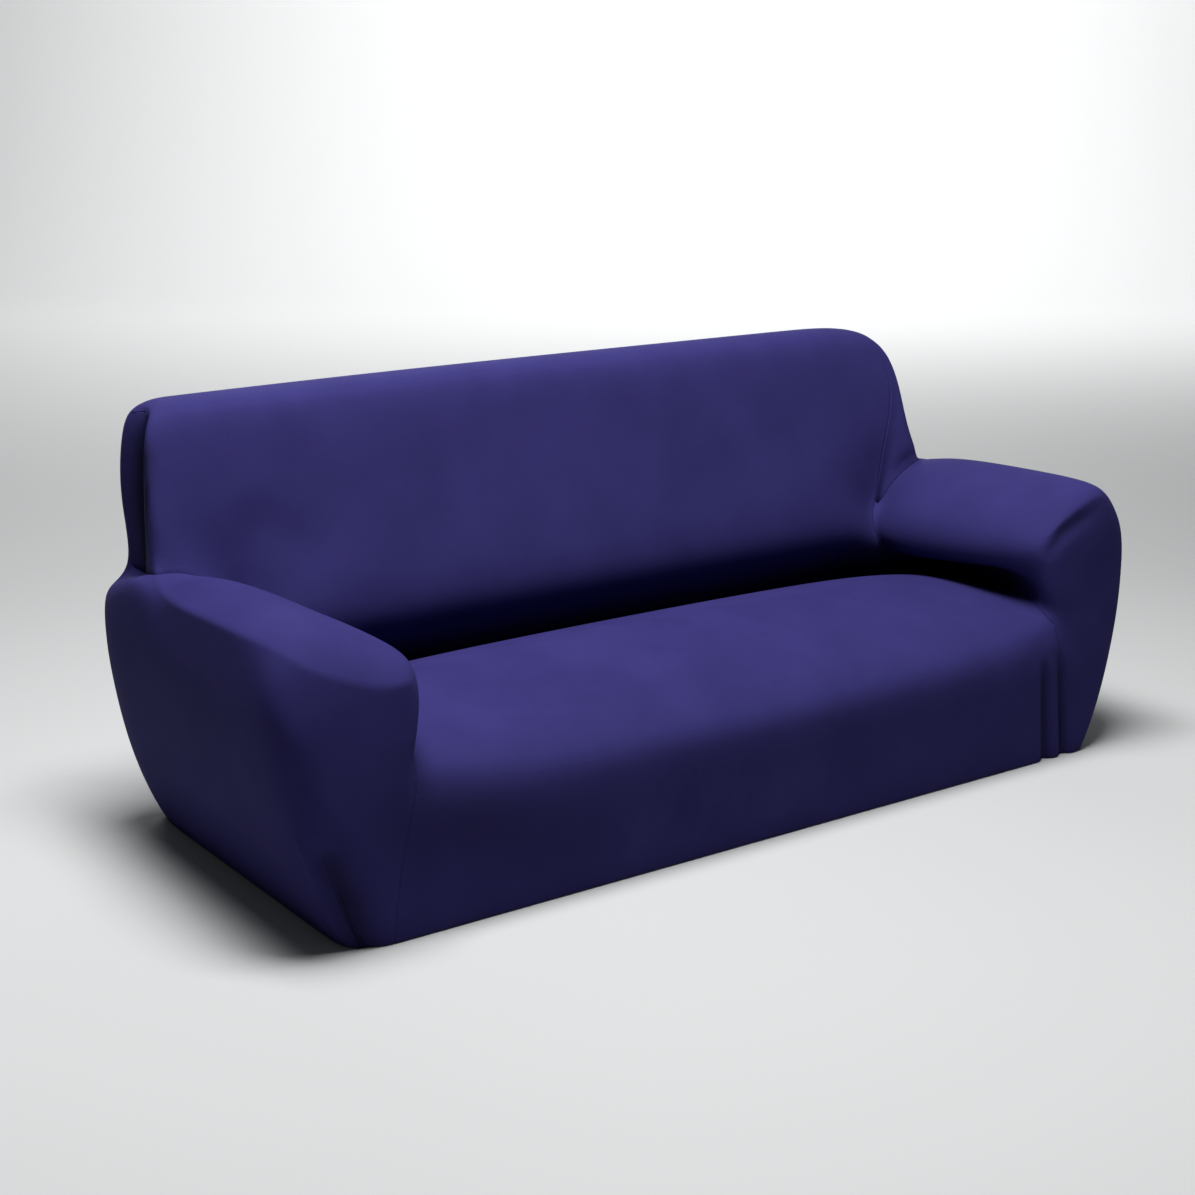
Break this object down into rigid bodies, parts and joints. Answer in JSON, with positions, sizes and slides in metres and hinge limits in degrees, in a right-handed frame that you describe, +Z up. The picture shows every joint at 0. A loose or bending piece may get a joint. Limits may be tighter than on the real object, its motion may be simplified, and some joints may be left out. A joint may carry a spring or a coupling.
{
  "type": "sofa slipcover",
  "caption": "Fitted stretch slipcover shaped to a wide sofa with padded arms and a raised back, hollow and open at the bottom, its skirt ending in a turned hem.",
  "frame": {"origin": "middle of the cover's footprint, at the height of the hem", "axes": "+X towards the right arm as seen from the front, +Y towards the outside back, +Z up"},
  "size_m": [2.1558, 0.8816, 0.8955],
  "materials": {
    "knit": "smooth dark indigo stretch knit with a soft satin sheen"
  },
  "bodies": {
    "root": {"body_panel": "knit", "arm_panel_left": "knit", "arm_panel_right": "knit", "back_end_left": "knit", "back_end_right": "knit"}
  },
  "joints": []
}
